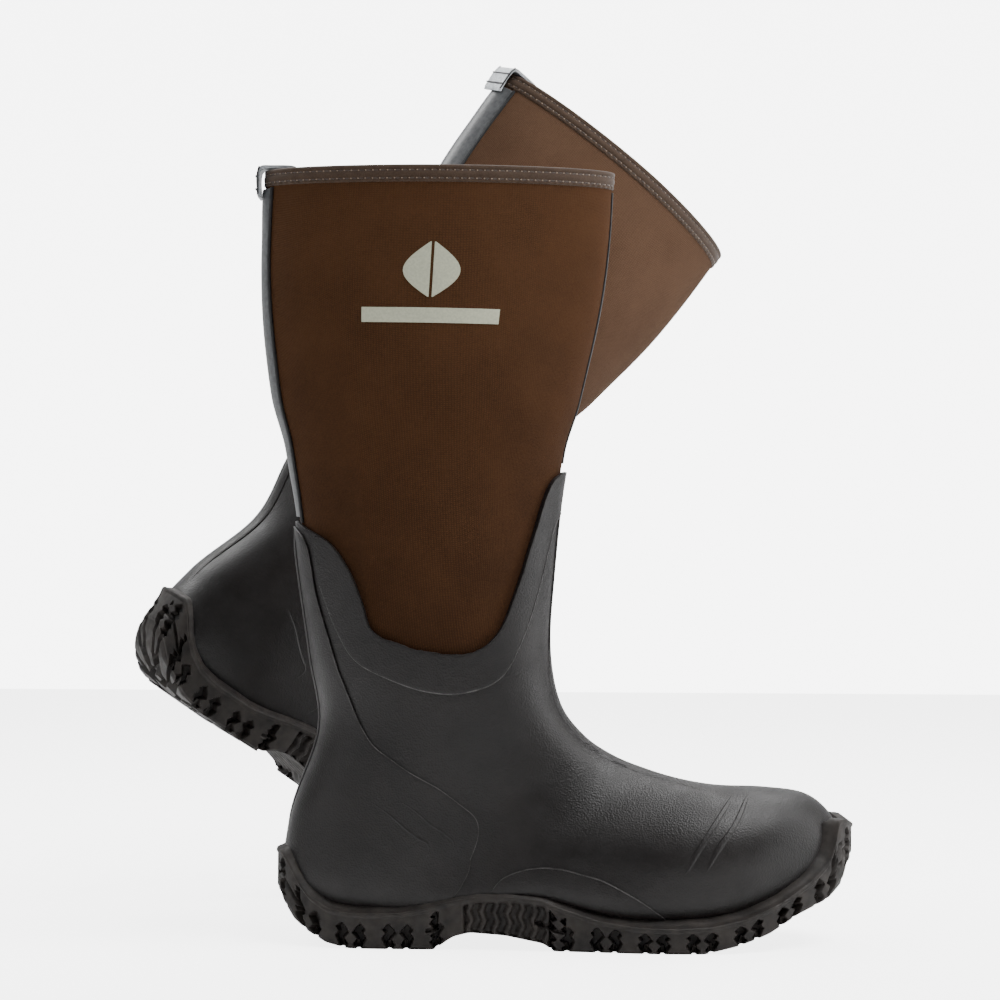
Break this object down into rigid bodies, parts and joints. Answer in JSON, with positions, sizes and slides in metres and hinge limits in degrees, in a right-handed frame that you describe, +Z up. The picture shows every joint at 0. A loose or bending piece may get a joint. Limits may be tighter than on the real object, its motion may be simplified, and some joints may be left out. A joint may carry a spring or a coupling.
{
  "type": "insulated hunting boots",
  "caption": "Tall rubber and neoprene boots: a lugged outsole and rubber overboot under a knit faced neoprene shaft; one stands and its mate leans on its toe.",
  "frame": {"origin": "on the floor, on the middle tread bar under the right boot's heel", "axes": "+X from the heel to the toe of the right boot, +Y from its outer side towards the left boot, +Z up"},
  "size_m": [0.4126, 0.3377, 0.5043],
  "materials": {
    "tread_rubber": "matte moulded tread",
    "shell_rubber": "semi-gloss pebbled grain",
    "midsole_foam": "foam",
    "footbed_foam": "foam with a knit cover",
    "shank_composite": "fibre composite",
    "fibre_board": "pressed fibre",
    "neoprene_inner": "neoprene foam",
    "neoprene_shaft": "knit faced neoprene",
    "knit_lining": "brushed knit",
    "seam_tape": "bonded tape",
    "strap_webbing": "satin webbing",
    "rim_binding": "folded knit tape",
    "leaf_print": "screen print"
  },
  "bodies": {
    "right_boot": {"right_outsole": "tread_rubber", "right_midsole": "midsole_foam", "right_shank": "shank_composite", "right_lasting_board": "fibre_board", "right_rubber_shell": "shell_rubber", "right_collar_band": "shell_rubber", "right_heel_counter": "shell_rubber", "right_heel_spine": "shell_rubber", "right_instep_strip": "shell_rubber", "right_flex_ribs": "shell_rubber", "right_arch_guards": "shell_rubber", "right_foot_bootie": "neoprene_inner", "right_lining": "knit_lining", "right_lateral_panel": "neoprene_shaft", "right_medial_panel": "neoprene_shaft", "right_front_seam_tape": "seam_tape", "right_back_strap": "strap_webbing", "right_top_binding": "rim_binding", "right_pull_tab": "strap_webbing", "right_emblem": "leaf_print"},
    "right_footbed": {"right_insole": "footbed_foam"},
    "left_boot": {"left_outsole": "tread_rubber", "left_midsole": "midsole_foam", "left_shank": "shank_composite", "left_lasting_board": "fibre_board", "left_rubber_shell": "shell_rubber", "left_collar_band": "shell_rubber", "left_heel_counter": "shell_rubber", "left_heel_spine": "shell_rubber", "left_instep_strip": "shell_rubber", "left_flex_ribs": "shell_rubber", "left_arch_guards": "shell_rubber", "left_foot_bootie": "neoprene_inner", "left_lining": "knit_lining", "left_lateral_panel": "neoprene_shaft", "left_medial_panel": "neoprene_shaft", "left_front_seam_tape": "seam_tape", "left_back_strap": "strap_webbing", "left_top_binding": "rim_binding", "left_pull_tab": "strap_webbing", "left_emblem": "leaf_print"},
    "left_footbed": {"left_insole": "footbed_foam"}
  },
  "joints": [
    {"name": "left_boot_tip", "type": "hinge", "parent": "right_boot", "child": "left_boot", "pos_m": [0.04194, 0.20751, 0.014], "axis": [-0.2385, 0.9711, 0], "range_deg": [-34.4, 0]},
    {"name": "right_footbed_lift", "type": "hinge", "parent": "right_boot", "child": "right_footbed", "pos_m": [0.22, 0.007, 0.036], "axis": [0, 1, 0], "range_deg": [0, 6]},
    {"name": "left_footbed_lift", "type": "hinge", "parent": "left_boot", "child": "left_footbed", "pos_m": [0.05698, 0.24417, 0.02468], "axis": [-0.4721, 0.8645, 0.1727], "range_deg": [0, 6]}
  ]
}
